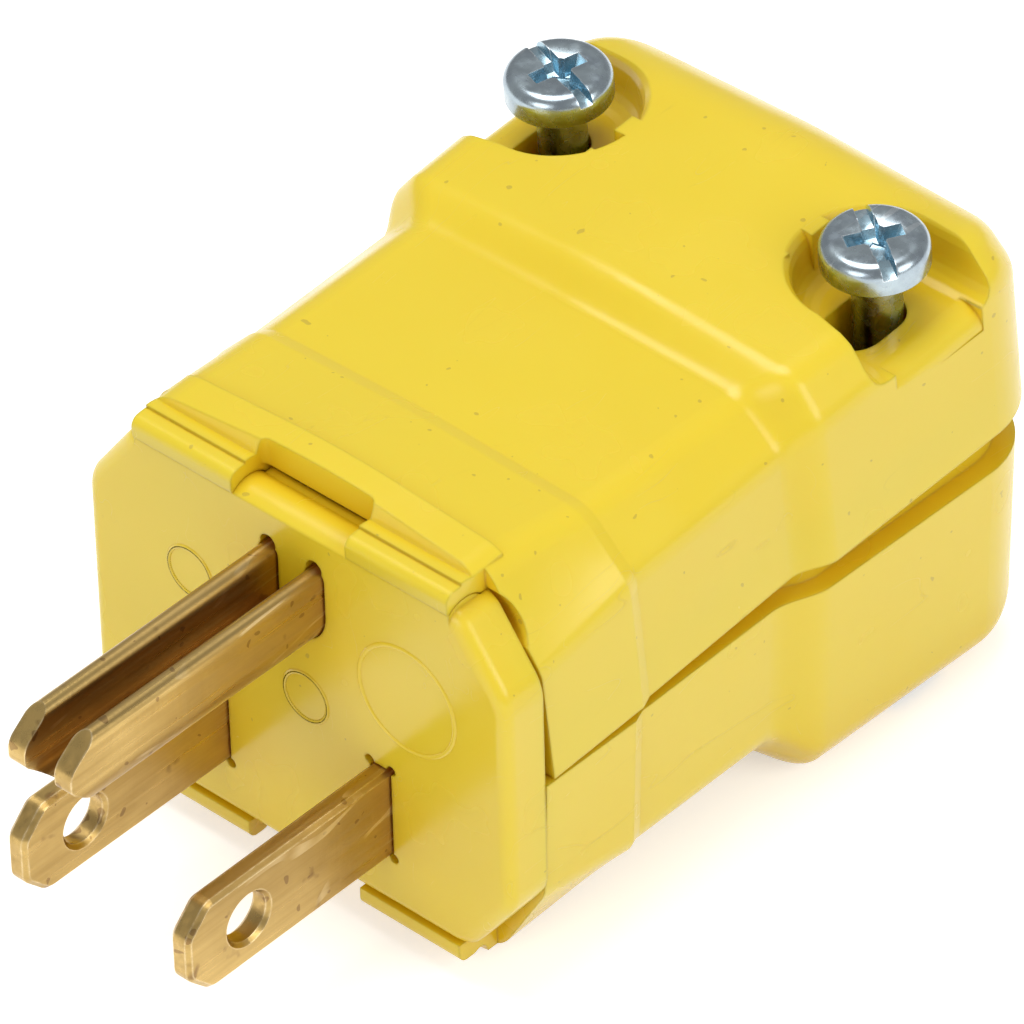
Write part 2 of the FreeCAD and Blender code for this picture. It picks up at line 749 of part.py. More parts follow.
def blade_retainer():
    """Plate pressed on behind the face that locks the contacts in their slots."""
    y = carrier_back + seam
    low = inner_floor()
    points = base_outline(y, low, plate_z + 4.2)[:5]
    points += [(tower_half + fin, y, plate_z + 4.2)]
    points += [(tower_half + fin, y, pin_plate_z + 3.0), (-tower_half - fin, y, pin_plate_z + 3.0)]
    points += [(-tower_half - fin, y, plate_z + 4.2), (-carrier_half, y, plate_z + 4.2)]
    wall_plate = prism(points, [0.6] * 10, (0, retainer_plate_thick, 0))
    for side in (-1, 0, 1):
        x = side * terminal_x()
        z = (pin_plate_z if side == 0 else plate_z) + 1.6
        wall_plate = wall_plate.cut(cylinder(1.9, 4, Vector(x, y - 1, z), Vector(0, 1, 0)))
    return wall_plate


def closing_screw(side):
    """Pan head screw, backed out, square to the swung cover."""
    under = parting_z + well_floor + screw_out
    x = screw_x * side
    profile = [Vector(0, 0, under - screw_length), Vector(screw_r - 0.4, 0, under - screw_length)]
    profile += [Vector(screw_r, 0, under - screw_length + 0.5), Vector(screw_r, 0, under)]
    profile += [Vector(screw_head_r, 0, under), Vector(screw_head_r, 0, under + 1.1)]
    edges = [Part.LineSegment(a, b).toShape() for a, b in zip(profile, profile[1:])]
    shoulder = Vector(screw_head_r - 0.35, 0, under + 1.75)
    crown = Vector(screw_head_r - 1.1, 0, under + screw_head_height - 0.15)
    edges.append(Part.Arc(profile[-1], shoulder, crown).toShape())
    top = Vector(0, 0, under + screw_head_height)
    edges.append(Part.LineSegment(crown, top).toShape())
    edges.append(Part.LineSegment(top, profile[0]).toShape())
    screw = Part.Face(Part.Wire(edges)).revolve(Vector(0, 0, 0), Vector(0, 0, 1), 360)
    deep = under + screw_head_height - screw_recess_depth
    slot = box((-5, -screw_slot_w / 2, deep), (5, screw_slot_w / 2, deep + 3))
    cross = box((-screw_slot_w / 2, -1.75, deep), (screw_slot_w / 2, 1.75, deep + 3))
    screw = screw.cut(slot).cut(cross)
    screw.rotate(Vector(0, 0, 0), Vector(0, 0, 1), -33 if side > 0 else -17)
    screw.translate(Vector(x, screw_y, 0))
    return swing(screw, ajar_deg)


def screw_retainer(side):
    """Washer on the shank that keeps the screw in the cover."""
    top = parting_z + boss_end - retainer_slack
    base = Vector(screw_x * side, screw_y, top - retainer_thick)
    washer = cylinder(retainer_r, retainer_thick, base)
    washer = washer.cut(cylinder(screw_r + running, 4, base - Vector(0, 0, 1)))
    return swing(washer, ajar_deg)


def closing_nut(side):
    """Hexagon nut pressed into the lower cover."""
    z = parting_z + nut_top() - nut_height
    nut = hexagon(nut_flats - 0.02, nut_height, screw_x * side, screw_y, z)
    return nut.cut(cylinder(nut_bore_r, 6, Vector(screw_x * side, screw_y, z - 1)))


def build():
    parts = {"upper_cover": upper_cover(), "lower_cover": lower_cover()}
    parts["contact_carrier"] = contact_carrier()
    parts["blade_retainer"] = blade_retainer()
    parts["ground_pin"] = ground_pin()
    for name, side in (("left", -1), ("right", 1)):
        parts[name + "_blade"] = flat_blade(side)
        parts[name + "_terminal_clamp"] = clamp_plate(terminal_x() * side, plate_z)
        parts[name + "_terminal_screw"] = terminal_screw(terminal_x() * side, plate_z + clamp_thick)
        parts[name + "_closing_screw"] = closing_screw(side)
        parts[name + "_screw_retainer"] = screw_retainer(side)
        parts[name + "_nut"] = closing_nut(side)
    seat = pin_plate_z + plate_thick
    parts["ground_terminal_clamp"] = clamp_plate(0, seat)
    parts["ground_terminal_screw"] = terminal_screw(0, seat + clamp_thick)
    return parts


os.makedirs("parts", exist_ok=True)
for name, shape in build().items():
    shape.exportStep("parts/" + name + ".step")
    solids = len(shape.Solids)
    print(name, "solids", solids, "valid", shape.isValid(), "volume", round(shape.Volume, 1), shape.BoundBox)
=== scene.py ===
import json
import math

import bpy
from mathutils import Matrix, Vector


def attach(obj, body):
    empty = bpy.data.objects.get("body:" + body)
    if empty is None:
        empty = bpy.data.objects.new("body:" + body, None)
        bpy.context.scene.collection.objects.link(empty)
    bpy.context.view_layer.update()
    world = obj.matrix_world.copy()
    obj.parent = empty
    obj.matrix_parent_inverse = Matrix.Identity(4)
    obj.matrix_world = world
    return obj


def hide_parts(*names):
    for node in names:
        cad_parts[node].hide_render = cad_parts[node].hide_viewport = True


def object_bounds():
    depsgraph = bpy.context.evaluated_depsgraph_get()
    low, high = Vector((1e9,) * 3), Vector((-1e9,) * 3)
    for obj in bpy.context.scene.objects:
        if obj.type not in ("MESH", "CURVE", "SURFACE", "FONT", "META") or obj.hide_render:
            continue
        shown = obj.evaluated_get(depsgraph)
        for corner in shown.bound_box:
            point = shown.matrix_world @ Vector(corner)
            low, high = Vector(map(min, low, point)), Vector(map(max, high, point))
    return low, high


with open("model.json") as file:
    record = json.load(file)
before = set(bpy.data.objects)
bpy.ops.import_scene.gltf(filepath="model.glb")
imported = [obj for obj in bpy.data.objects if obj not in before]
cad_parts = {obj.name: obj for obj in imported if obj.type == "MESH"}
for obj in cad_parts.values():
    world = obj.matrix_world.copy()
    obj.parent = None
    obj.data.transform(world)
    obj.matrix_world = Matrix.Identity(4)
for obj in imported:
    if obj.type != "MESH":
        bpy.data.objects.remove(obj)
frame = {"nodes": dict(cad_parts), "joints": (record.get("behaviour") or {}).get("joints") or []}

cad_low, cad_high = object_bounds()
nodes = frame["nodes"]

# Camera, at the height and turn of a product shot taken from in front of
# the blades and above the plug's right shoulder.
camera_data = bpy.data.cameras.new("product_camera")
camera_data.sensor_width = 36.0
camera_data.lens = 363.4
camera_data.clip_start = 0.05
camera_data.clip_end = 20.0
camera = bpy.data.objects.new("product_camera", camera_data)
camera.location = (0.313516, -0.315574, 0.384802)
camera.rotation_euler = (0.880764, 0.021056, 0.736777)
bpy.context.scene.collection.objects.link(camera)
bpy.context.scene.camera = camera

# Table top, a pale sheet that the plug stands on. It runs out of view on all
# sides and shows white to the camera while it keeps the soft shadow. Its
# glow is a strong level on a dim colour, so it isn't sampled as a lamp.
table_size = 6.0
table_gap = 0.0001
glow_colour = (0.4, 0.4, 0.4, 1)
glow_level = 1.25
bpy.ops.object.select_all(action="DESELECT")
bpy.ops.mesh.primitive_plane_add(size=table_size, location=(0, 0, cad_low.z - table_gap))
table_top = bpy.context.object
table_top.name = "table_top"
bpy.ops.object.transform_apply(location=True, rotation=True, scale=True)
sheet = bpy.data.materials.new("table_sheet")
sheet.use_nodes = True
tree = sheet.node_tree
shader = tree.nodes["Principled BSDF"]
shader.inputs["Base Color"].default_value = (0.88, 0.88, 0.88, 1)
shader.inputs["Roughness"].default_value = 0.9
shader.inputs["Specular IOR Level"].default_value = 0.0
shader.inputs["Emission Color"].default_value = glow_colour
path = tree.nodes.new("ShaderNodeLightPath")
seen = tree.nodes.new("ShaderNodeMath")
seen.operation = "MAXIMUM"
tree.links.new(path.outputs["Is Camera Ray"], seen.inputs[0])
tree.links.new(path.outputs["Is Glossy Ray"], seen.inputs[1])
glow = tree.nodes.new("ShaderNodeMath")
glow.operation = "MULTIPLY"
glow.inputs[1].default_value = glow_level
tree.links.new(seen.outputs[0], glow.inputs[0])
tree.links.new(glow.outputs[0], shader.inputs["Emission Strength"])
table_top.data.materials.append(sheet)

# Studio: a surround that is white to the camera and a soft fill on the plug,
# a broad lamp overhead, a weaker one on the right and a low one in front.
surround_fill = 0.42
lamp_aim = Vector((0, 0.015, 0.005))
world = bpy.data.worlds.new("studio")
bpy.context.scene.world = world
world.use_nodes = True
tree = world.node_tree
background = tree.nodes["Background"]
background.inputs["Color"].default_value = (1, 1, 1, 1)
path = tree.nodes.new("ShaderNodeLightPath")
seen = tree.nodes.new("ShaderNodeMath")
seen.operation = "MAXIMUM"
tree.links.new(path.outputs["Is Camera Ray"], seen.inputs[0])
tree.links.new(path.outputs["Is Transmission Ray"], seen.inputs[1])
level = tree.nodes.new("ShaderNodeMapRange")
level.inputs["To Min"].default_value = surround_fill
level.inputs["To Max"].default_value = 1.0
tree.links.new(seen.outputs[0], level.inputs["Value"])
tree.links.new(level.outputs["Result"], background.inputs["Strength"])
for name, power, size, place in (
    ("overhead_lamp", 2.6, 0.5, (-0.15, 0.05, 0.7)),
    ("right_lamp", 1.5, 0.45, (0.6, 0.1, 0.35)),
    ("front_lamp", 1.15, 0.4, (0.05, -0.6, 0.3)),
):
    lamp_data = bpy.data.lights.new(name, "AREA")
    lamp_data.energy = power
    lamp_data.shape = "DISK"
    lamp_data.size = size
    lamp = bpy.data.objects.new(name, lamp_data)
    lamp.location = place
    aim = lamp_aim - Vector(place)
    lamp.rotation_euler = aim.to_track_quat("-Z", "Y").to_euler()
    bpy.context.scene.collection.objects.link(lamp)
bpy.context.scene.view_settings.view_transform = "Standard"


# Body mouldings: the two cover halves and the face piece, injection moulded
# in yellow nylon and snapped or hooked together. The gloss skin has a faint
# flow pattern and marks from handling, with painted shade in its hollows: a
# deeper yellow where the surface is closed in.
mm = 0.001


def set_material(obj, material):
    obj.data.materials.clear()
    obj.data.materials.append(material)


def new_material(name):
    """Material with its Principled shader, ready for a finish."""
    material = bpy.data.materials.new(name)
    material.use_nodes = True
    return material, material.node_tree, material.node_tree.nodes["Principled BSDF"]


def add(tree, kind, **values):
    """Shader node with its sockets or settings set by name."""
    node = tree.nodes.new(kind)
    for key, value in values.items():
        if key in node.inputs:
            node.inputs[key].default_value = value
        else:
            setattr(node, key, value)
    return node


def object_noise(tree, scale, stretch=(1, 1, 1), detail=2.0):
    """Noise on the piece's own coordinates, longer where stretch is small."""
    place = add(tree, "ShaderNodeTexCoord")
    turn = add(tree, "ShaderNodeMapping")
    turn.inputs["Scale"].default_value = stretch
    noise = add(tree, "ShaderNodeTexNoise", Scale=scale, Detail=detail)
    tree.links.new(place.outputs["Object"], turn.inputs["Vector"])
    tree.links.new(turn.outputs["Vector"], noise.inputs["Vector"])
    return noise.outputs["Fac"]


def remap(tree, source, low, high, to_low=0.0, to_high=1.0):
    """Value stretched from one range to another and held at its ends."""
    node = add(tree, "ShaderNodeMapRange")
    node.inputs["From Min"].default_value = low
    node.inputs["From Max"].default_value = high
    node.inputs["To Min"].default_value = to_low
    node.inputs["To Max"].default_value = to_high
    tree.links.new(source, node.inputs["Value"])
    return node.outputs["Result"]


def reckon(tree, operation, first, second):
    """Sum, product or other step on two values, each a number or a socket."""
    node = add(tree, "ShaderNodeMath", operation=operation)
    for socket, value in zip(node.inputs, (first, second)):
        if isinstance(value, (int, float)):
            socket.default_value = value
        else:
            tree.links.new(value, socket)
    return node.outputs["Value"]


def blend_colour(tree, mask, first, second):
    """Colour that runs from first to second as the mask rises."""
    node = add(tree, "ShaderNodeMix", data_type="RGBA")
    tree.links.new(mask, node.inputs["Factor"])
    colours = [s for s in node.inputs if s.type == "RGBA"]
    for socket, value in zip(colours, (first, second)):
        if isinstance(value, tuple):
            socket.default_value = value
        else:
            tree.links.new(value, socket)
    return [s for s in node.outputs if s.type == "RGBA"][0]


def new_group(name, inputs, outputs):
    """Shader node group with named inputs and outputs, and its two end nodes."""
    group = bpy.data.node_groups.new(name, "ShaderNodeTree")
    for label, value in inputs.items():
        socket = group.interface.new_socket(
            name=label, in_out="INPUT", socket_type="NodeSocketFloat")
        socket.default_value = value
    for label in outputs:
        group.interface.new_socket(name=label, in_out="OUTPUT", socket_type="NodeSocketFloat")
    return group, group.nodes.new("NodeGroupInput"), group.nodes.new("NodeGroupOutput")


def place_group(tree, group, **values):
    """The group as a node in one material, with that material's own values."""
    node = add(tree, "ShaderNodeGroup", node_tree=group)
    for key, value in values.items():
        node.inputs[key.replace("_", " ")].default_value = value
    return node


# Hollows mask from ambient occlusion, rising where the surface is closed in. Each finish below tints
# its hollows with it; on the nylon that tint is painted shade.
hollows_in = {"Reach": 6 * mm, "Closed": 0.3, "Open": 0.95}
hollows, entry, exit_node = new_group("hollows", hollows_in, ["Mask"])
shut_in = add(hollows, "ShaderNodeAmbientOcclusion", samples=2)
hollows.links.new(entry.outputs["Reach"], shut_in.inputs["Distance"])
span = add(hollows, "ShaderNodeMapRange")
hollows.links.new(shut_in.outputs["AO"], span.inputs["Value"])
hollows.links.new(entry.outputs["Closed"], span.inputs["From Min"])
hollows.links.new(entry.outputs["Open"], span.inputs["From Max"])
span.inputs["To Min"].default_value = 1.0
span.inputs["To Max"].default_value = 0.0
hollows.links.new(span.outputs["Result"], exit_node.inputs["Mask"])

marks_in = {"Scratch Scale": 300.0, "Scratch Width": 0.012,
            "Speck Scale": 900.0, "Speck Limit": 0.74}
marks, entry, exit_node = new_group("handling_marks", marks_in, ["Scratches", "Specks"])
place = add(marks, "ShaderNodeTexCoord")
lean = add(marks, "ShaderNodeMapping")
lean.inputs["Rotation"].default_value = (0.4, 0.7, 0.5)
lean.inputs["Scale"].default_value = (1.0, 0.12, 0.5)
marks.links.new(place.outputs["Object"], lean.inputs["Vector"])
long_noise = add(marks, "ShaderNodeTexNoise", Detail=1.5)
marks.links.new(lean.outputs["Vector"], long_noise.inputs["Vector"])
marks.links.new(entry.outputs["Scratch Scale"], long_noise.inputs["Scale"])
off_line = reckon(marks, "ABSOLUTE", reckon(marks, "SUBTRACT", long_noise.outputs["Fac"], 0.5), 0.0)
thin = reckon(marks, "LESS_THAN", off_line, entry.outputs["Scratch Width"])
patch = remap(marks, object_noise(marks, scale=220.0), 0.52, 0.62)
marks.links.new(reckon(marks, "MULTIPLY", thin, patch), exit_node.inputs["Scratches"])
dots = add(marks, "ShaderNodeTexNoise", Detail=0.5)
marks.links.new(place.outputs["Object"], dots.inputs["Vector"])
marks.links.new(entry.outputs["Speck Scale"], dots.inputs["Scale"])
spot = reckon(marks, "GREATER_THAN", dots.outputs["Fac"], entry.outputs["Speck Limit"])
marks.links.new(spot, exit_node.inputs["Specks"])

# The deeper yellow serves twice: as painted shade in the hollows and as the darker patches of the
# flow pattern.
pale_yellow = (0.83, 0.625, 0.038, 1)
deep_yellow_shade_and_cloud = (0.77, 0.50, 0.006, 1)
smudge = (0.34, 0.23, 0.05, 1)
nylon, tree, shader = new_material("yellow_nylon")
shader.inputs["IOR"].default_value = 1.5
shader.inputs["Subsurface Weight"].default_value = 0.2
shader.inputs["Subsurface Radius"].default_value = (1.0, 0.65, 0.12)
shader.inputs["Subsurface Scale"].default_value = 3 * mm
# Painted shade: a deeper yellow in the hollows and gaps, rising as they close in.
hollow = place_group(tree, hollows, Reach=6 * mm, Closed=0.25, Open=0.9)
tone = blend_colour(tree, hollow.outputs["Mask"], pale_yellow, deep_yellow_shade_and_cloud)
cloud = remap(tree, object_noise(tree, scale=70.0), 0.35, 0.7, to_high=0.12)
tone = blend_colour(tree, cloud, tone, deep_yellow_shade_and_cloud)
worn = place_group(tree, marks, Scratch_Scale=520.0, Scratch_Width=0.0022,
                   Speck_Scale=1500.0, Speck_Limit=0.8)
dirt = reckon(tree, "MULTIPLY", worn.outputs["Specks"], 0.4)
dirt = reckon(tree, "MAXIMUM", dirt, reckon(tree, "MULTIPLY", worn.outputs["Scratches"], 0.14))
tone = blend_colour(tree, dirt, tone, smudge)
tree.links.new(tone, shader.inputs["Base Color"])
gloss = remap(tree, object_noise(tree, scale=160.0), 0.3, 0.7, 0.17, 0.3)
gloss = reckon(tree, "ADD", gloss, reckon(tree, "MULTIPLY", worn.outputs["Scratches"], 0.12))
tree.links.new(gloss, shader.inputs["Roughness"])
soft_edge = add(tree, "ShaderNodeBevel", samples=2)
soft_edge.inputs["Radius"].default_value = 0.25 * mm
skin = add(tree, "ShaderNodeBump")
skin.inputs["Strength"].default_value = 0.08
skin.inputs["Distance"].default_value = 0.2 * mm
tree.links.new(object_noise(tree, scale=350.0), skin.inputs["Height"])
tree.links.new(soft_edge.outputs["Normal"], skin.inputs["Normal"])
tree.links.new(skin.outputs["Normal"], shader.inputs["Normal"])
for name in ("upper_cover", "lower_cover", "contact_carrier"):
    set_material(nodes[name], nylon)


# Mould marks on the face: three plain raised rings, as round inserts in the
# mould leave them. They are one moulding with the face and stay bare inside.
# Their nylon has no light travelling in it, because the rims are too thin.
def start_edit(obj):
    """Only this piece selected, and open in edit mode."""
    bpy.ops.object.select_all(action="DESELECT")
    obj.select_set(True)
    bpy.context.view_layer.objects.active = obj
    bpy.ops.object.mode_set(mode="EDIT")


def pick(obj, kind, test):
    """In edit mode, selects edges whose ends, or many-sided faces whose centre, pass the test."""
    bpy.ops.mesh.select_mode(type=kind)
    bpy.ops.mesh.select_all(action="DESELECT")
    bpy.ops.object.mode_set(mode="OBJECT")
    mesh = obj.data
    quad = 4
    if kind == "EDGE":
        for edge in mesh.edges:
            edge.select = all(test(mesh.vertices[i].co) for i in edge.vertices)
    else:
        for face in mesh.polygons:
            face.select = test(face.center) and len(face.vertices) > quad
    bpy.ops.object.mode_set(mode="EDIT")


ring_rise = 0.08 * mm
ring_width = 0.36 * mm
ring_root = 0.08 * mm
ring_round = ring_width * 0.42
ring_softness = 0.03 * mm
ring_front = -ring_rise * 0.9
ring_tall = ring_rise + ring_root
facing_front = (math.pi / 2, 0, 0)
thin_nylon = nylon.copy()
thin_nylon.name = "yellow_nylon_thin"
thin_nylon.node_tree.nodes["Principled BSDF"].inputs["Subsurface Weight"].default_value = 0.0
for node in thin_nylon.node_tree.nodes:
    if node.bl_idname == "ShaderNodeBevel":
        node.inputs["Radius"].default_value = ring_softness
for name, radius, x, z in (
    ("small_ring", 1.85 * mm, 0.7 * mm, 5.2 * mm),
    ("large_ring", 3.8 * mm, 8.6 * mm, 9.3 * mm),
    ("side_ring", 1.85 * mm, -8.1 * mm, 9.6 * mm),
):
    bpy.ops.object.select_all(action="DESELECT")
    middle = (x, (ring_root - ring_rise) / 2, z)
    bpy.ops.mesh.primitive_cylinder_add(
        vertices=72, radius=radius, depth=ring_tall, location=middle, rotation=facing_front)
    ring = bpy.context.object
    ring.name = "mould_mark_" + name
    bpy.ops.object.transform_apply(location=True, rotation=True, scale=True)
    start_edit(ring)
    pick(ring, "FACE", lambda p: p.y < ring_front)
    bpy.ops.mesh.inset(thickness=ring_width)
    inwards = (0, ring_rise + ring_root / 2, 0)
    bpy.ops.mesh.extrude_region_move(TRANSFORM_OT_translate={"value": inwards})
    pick(ring, "EDGE", lambda p: p.y < ring_front)
    bpy.ops.mesh.bevel(offset=ring_round, segments=3)
    bpy.ops.object.mode_set(mode="OBJECT")
    bpy.ops.object.shade_smooth_by_angle(angle=math.radians(50))
    set_material(ring, thin_nylon)
    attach(ring, "base")

# Contacts: blades, ground pin and wire clamps, stamped from brass strip and
# left bare, locked in the face piece by the plate behind. Drawn grain along
# the strip, brown stains, rubbed bright edges and tarnish in the channel.
edge_wear_in = {"Radius": 0.2 * mm, "Break Up": 900.0}
edge_wear, entry, exit_node = new_group("edge_wear", edge_wear_in, ["Mask"])
rounded = add(edge_wear, "ShaderNodeBevel", samples=3)
edge_wear.links.new(entry.outputs["Radius"], rounded.inputs["Radius"])
surface = add(edge_wear, "ShaderNodeNewGeometry")
agree = add(edge_wear, "ShaderNodeVectorMath", operation="DOT_PRODUCT")
edge_wear.links.new(rounded.outputs["Normal"], agree.inputs[0])
edge_wear.links.new(surface.outputs["Normal"], agree.inputs[1])
edge_mask = remap(edge_wear, agree.outputs["Value"], 0.995, 0.93)
rub = add(edge_wear, "ShaderNodeTexNoise", Detail=3.0)
place = add(edge_wear, "ShaderNodeTexCoord")
edge_wear.links.new(place.outputs["Object"], rub.inputs["Vector"])
edge_wear.links.new(entry.outputs["Break Up"], rub.inputs["Scale"])
broken = remap(edge_wear, rub.outputs["Fac"], 0.35, 0.6, 0.25, 1.0)
edge_wear.links.new(reckon(edge_wear, "MULTIPLY", edge_mask, broken), exit_node.inputs["Mask"])

clean_brass = (0.62, 0.43, 0.155, 1)
dull_brass = (0.40, 0.26, 0.085, 1)
brown_stain = (0.20, 0.105, 0.045, 1)
rubbed_brass = (0.86, 0.70, 0.42, 1)
tarnish = (0.52, 0.26, 0.11, 1)
brass, tree, shader = new_material("drawn_brass")
shader.inputs["Metallic"].default_value = 1.0
streak = object_noise(tree, scale=2600.0, stretch=(1, 0.03, 1), detail=4.0)
cross_marks = object_noise(tree, scale=2200.0, stretch=(1, 1, 0.06), detail=3.0)
blotch = object_noise(tree, scale=170.0, stretch=(1, 0.6, 1), detail=5.0)
tone = blend_colour(tree, remap(tree, blotch, 0.35, 0.7), clean_brass, dull_brass)
tone = blend_colour(tree, remap(tree, streak, 0.35, 0.65, to_high=0.35), tone, dull_brass)
stained = remap(tree, object_noise(tree, scale=520.0), 0.66, 0.74, to_high=0.7)
tone = blend_colour(tree, stained, tone, brown_stain)
worn = place_group(tree, marks, Scratch_Scale=420.0, Scratch_Width=0.012,
                   Speck_Scale=1100.0, Speck_Limit=0.74)
tone = blend_colour(tree, reckon(tree, "MULTIPLY", worn.outputs["Specks"], 0.6), tone, brown_stain)
hollow = place_group(tree, hollows, Reach=2.6 * mm, Closed=0.15, Open=0.55)
lined = blend_colour(tree, remap(tree, streak, 0.56, 0.64), tarnish, rubbed_brass)
tone = blend_colour(tree, hollow.outputs["Mask"], tone, lined)
bright = place_group(tree, edge_wear, Radius=0.18 * mm, Break_Up=1500.0)
scraped = reckon(tree, "MULTIPLY", worn.outputs["Scratches"], 0.45)
rubbed = reckon(tree, "MAXIMUM", bright.outputs["Mask"], scraped)
tone = blend_colour(tree, rubbed, tone, rubbed_brass)
tree.links.new(tone, shader.inputs["Base Color"])
sheen = remap(tree, streak, 0.3, 0.7, 0.2, 0.42)
sheen = reckon(tree, "ADD", sheen, remap(tree, blotch, 0.4, 0.7, to_high=0.12))
tree.links.new(sheen, shader.inputs["Roughness"])
drawn = add(tree, "ShaderNodeBump")
drawn.inputs["Strength"].default_value = 0.3
drawn.inputs["Distance"].default_value = 0.05 * mm
scored = reckon(tree, "ADD", streak, reckon(tree, "MULTIPLY", cross_marks, 0.6))
tree.links.new(scored, drawn.inputs["Height"])
tree.links.new(drawn.outputs["Normal"], shader.inputs["Normal"])
for name in ("left_blade", "right_blade", "ground_pin", "left_terminal_clamp",
             "right_terminal_clamp", "ground_terminal_clamp", "right_terminal_screw"):
    set_material(nodes[name], brass)


# Plated steel: closing screws, nuts and the silver terminal screw, cold headed
# or stamped and plated with clear zinc. A blue cast in the recesses, fine
# handling marks, edges rubbed bright.
zinc_grey = (0.44, 0.52, 0.56, 1)
zinc_dull = (0.34, 0.40, 0.45, 1)
zinc_blue = (0.42, 0.66, 0.78, 1)
zinc_bright = (0.86, 0.90, 0.92, 1)
zinc, tree, shader = new_material("bright_zinc")
shader.inputs["Metallic"].default_value = 1.0
mottle = object_noise(tree, scale=650.0, detail=4.0)
tone = blend_colour(tree, remap(tree, mottle, 0.38, 0.66), zinc_grey, zinc_dull)
worn = place_group(tree, marks, Scratch_Scale=700.0, Scratch_Width=0.02,
                   Speck_Scale=1900.0, Speck_Limit=0.7)
tone = blend_colour(tree, reckon(tree, "MULTIPLY", worn.outputs["Specks"], 0.5), tone, zinc_dull)
hollow = place_group(tree, hollows, Reach=1.2 * mm, Closed=0.3, Open=0.92)
tone = blend_colour(tree, hollow.outputs["Mask"], tone, zinc_blue)
bright = place_group(tree, edge_wear, Radius=0.12 * mm, Break_Up=2500.0)
scraped = reckon(tree, "MULTIPLY", worn.outputs["Scratches"], 0.3)
rubbed = reckon(tree, "MAXIMUM", bright.outputs["Mask"], scraped)
tone = blend_colour(tree, rubbed, tone, zinc_bright)
tree.links.new(tone, shader.inputs["Base Color"])
sheen = remap(tree, object_noise(tree, scale=1400.0), 0.3, 0.7, 0.16, 0.34)
tree.links.new(sheen, shader.inputs["Roughness"])
dimple = add(tree, "ShaderNodeBump")
dimple.inputs["Strength"].default_value = 0.2
dimple.inputs["Distance"].default_value = 0.04 * mm
tree.links.new(mottle, dimple.inputs["Height"])
tree.links.new(dimple.outputs["Normal"], shader.inputs["Normal"])
for name in ("left_nut", "right_nut", "left_terminal_screw"):
    set_material(nodes[name], zinc)

# Closing screws: steel machine screws with a flat pan head, a slot across it
# and a cross recess, thread rolled on the lower half. Each is captive in the
# upper cover and draws it down on a nut in the lower one.
head_r = 3.25 * mm
head_height = 1.97 * mm
head_round = 0.85 * mm
shank_r = 1.5 * mm
shank_length = 19.08 * mm
thread_length = 10.5 * mm
thread_pitch = 0.79375 * mm
thread_root_r = 1.2 * mm
thread_run_out = shank_r - thread_root_r
bare_tip = 0.5 * mm
bare_ends = 1.5 * mm
tip_r = thread_root_r * 0.7
neck_fillet = 0.04 * mm
under_round = 0.15 * mm
punched_edge = 0.05 * mm
slot_length = 2.4 * head_r
slot_width = 1.1 * mm
slot_depth = 0.75 * mm
cross_reach = 2.1 * mm
cross_width = 1.15 * mm
cross_depth = 1.35 * mm
pit_width = 2.015 * mm
pit_depth = 1.1 * cross_depth
skin_depth = 0.02 * mm


def draw_down(depth, radius_from, radius_to):
    """Extrudes the selected end face downwards and brings it to a new radius."""
    bpy.ops.mesh.extrude_region_move(TRANSFORM_OT_translate={"value": (0, 0, -depth)})
    share = radius_to / radius_from
    if share != 1:
        bpy.ops.transform.resize(value=(share, share, 1), center_override=(0, 0, 0))


def cut_away(body, tool):
    """Takes the tool's shape out of the body and drops the tool."""
    cut = body.modifiers.new("recess", "BOOLEAN")
    cut.operation = "DIFFERENCE"
    cut.solver = "EXACT"
    cut.object = tool
    bpy.ops.object.select_all(action="DESELECT")
    bpy.context.view_layer.objects.active = body
    body.select_set(True)
    bpy.ops.object.modifier_apply(modifier="recess")
    bpy.data.objects.remove(tool)


def tapered_tool(length, width, depth, end_share, turn):
    """Block that narrows downwards from above the head's top, as a punch does."""
    bpy.ops.object.select_all(action="DESELECT")
    above = 1.0 * mm
    side_share = 0.75
    tall = depth + above
    middle = (0, 0, head_height + above - tall / 2)
    bpy.ops.mesh.primitive_cube_add(size=1, location=middle, scale=(length, width, tall))
    tool = bpy.context.object
    bpy.ops.object.transform_apply(location=True, rotation=True, scale=True)
    floor_z = min(v.co.z for v in tool.data.vertices)
    start_edit(tool)
    pick(tool, "EDGE", lambda p: p.z < floor_z + skin_depth)
    bpy.ops.transform.resize(value=(end_share, side_share, 1), center_override=(0, 0, floor_z))
    bpy.ops.object.mode_set(mode="OBJECT")
    tool.rotation_euler = (0, 0, turn)
    bpy.ops.object.transform_apply(location=True, rotation=True, scale=True)
    return tool


bpy.ops.object.select_all(action="DESELECT")
bpy.ops.mesh.primitive_cylinder_add(
    vertices=96, radius=head_r, depth=head_height, location=(0, 0, head_height / 2))
blank = bpy.context.object
blank.name = "screw_blank"
bpy.ops.object.transform_apply(location=True, rotation=True, scale=True)
start_edit(blank)
pick(blank, "EDGE", lambda p: p.z > head_height - skin_depth)
bpy.ops.mesh.bevel(offset=head_round, segments=10)
pick(blank, "EDGE", lambda p: p.z < skin_depth)
bpy.ops.mesh.bevel(offset=under_round, segments=3)
pick(blank, "FACE", lambda p: p.z < skin_depth)
collar_r = shank_r + neck_fillet
bpy.ops.mesh.inset(thickness=head_r - under_round - collar_r)
draw_down(neck_fillet, collar_r, shank_r)
draw_down(shank_length - thread_length - neck_fillet, shank_r, shank_r)
draw_down(thread_run_out, shank_r, thread_root_r)
draw_down(thread_length - 2 * thread_run_out, thread_root_r, thread_root_r)
draw_down(thread_run_out, thread_root_r, tip_r)
bpy.ops.object.mode_set(mode="OBJECT")

